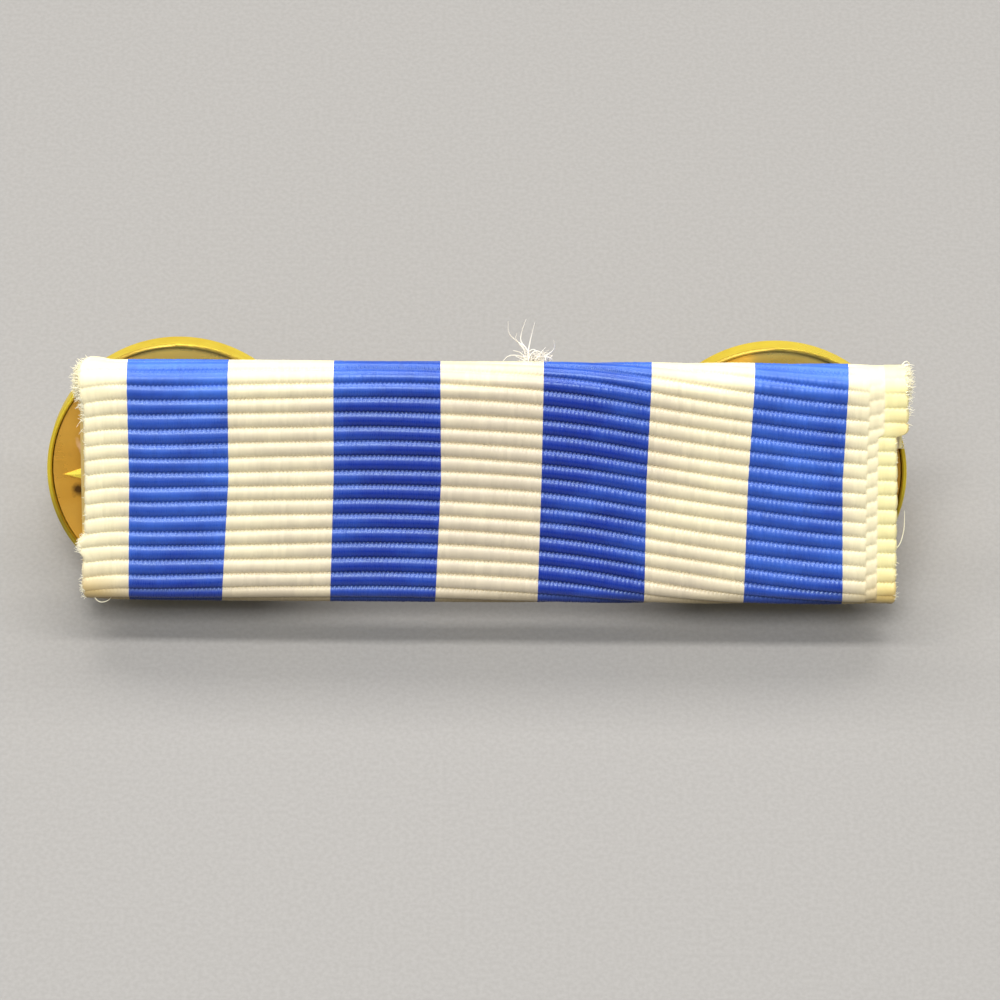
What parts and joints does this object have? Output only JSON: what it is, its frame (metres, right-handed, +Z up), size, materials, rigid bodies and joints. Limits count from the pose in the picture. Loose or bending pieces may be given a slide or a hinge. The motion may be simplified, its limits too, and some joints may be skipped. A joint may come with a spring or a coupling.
{
  "type": "ribbon bar",
  "caption": "Ribbed striped ribbon wound round a flat brass bar, with posts at its back held by round clutch backs that have squeeze wings.",
  "frame": {"origin": "on the table under the middle of the part's box", "axes": "+X along the bar to the viewer's right, -Y towards the viewer of its face, +Z up; the face leans back from the vertical"},
  "size_m": [0.0372, 0.0108, 0.0109],
  "materials": {
    "ribbon_cloth": "ribbed weave, cream with four royal blue stripes",
    "bar_brass": "satin",
    "clutch_brass": "polished, slightly tarnished",
    "clutch_gilt": "polished",
    "wing_brass": "satin"
  },
  "bodies": {
    "bar": {"bar": "bar_brass", "ribbon": "ribbon_cloth"},
    "left_clutch": {"left_clutch_face": "clutch_brass", "left_clutch_shell": "clutch_gilt"},
    "left_outer_wing": {"left_outer_wing": "wing_brass"},
    "left_inner_wing": {"left_inner_wing": "wing_brass"},
    "right_clutch": {"right_clutch_face": "clutch_brass", "right_clutch_shell": "clutch_gilt"},
    "right_outer_wing": {"right_outer_wing": "wing_brass"},
    "right_inner_wing": {"right_inner_wing": "wing_brass"}
  },
  "joints": [
    {"name": "left_clutch_pull", "type": "slide", "parent": "bar", "child": "left_clutch", "axis": [0, 0.8473, -0.5311], "range_m": [0, 0.0065]},
    {"name": "left_outer_squeeze", "type": "slide", "parent": "left_clutch", "child": "left_outer_wing", "axis": [1, 0, 0], "range_m": [0, 0.0007], "stiffness_N_per_m": 1000, "springref_m": -0.0003},
    {"name": "left_inner_squeeze", "type": "slide", "parent": "left_clutch", "child": "left_inner_wing", "axis": [-1, 0, 0], "range_m": [0, 0.0007], "stiffness_N_per_m": 1000, "springref_m": -0.0003},
    {"name": "right_clutch_pull", "type": "slide", "parent": "bar", "child": "right_clutch", "axis": [0, 0.8473, -0.5311], "range_m": [0, 0.0065]},
    {"name": "right_outer_squeeze", "type": "slide", "parent": "right_clutch", "child": "right_outer_wing", "axis": [-1, 0, 0], "range_m": [0, 0.0007], "stiffness_N_per_m": 1000, "springref_m": -0.0003},
    {"name": "right_inner_squeeze", "type": "slide", "parent": "right_clutch", "child": "right_inner_wing", "axis": [1, 0, 0], "range_m": [0, 0.0007], "stiffness_N_per_m": 1000, "springref_m": -0.0003}
  ]
}
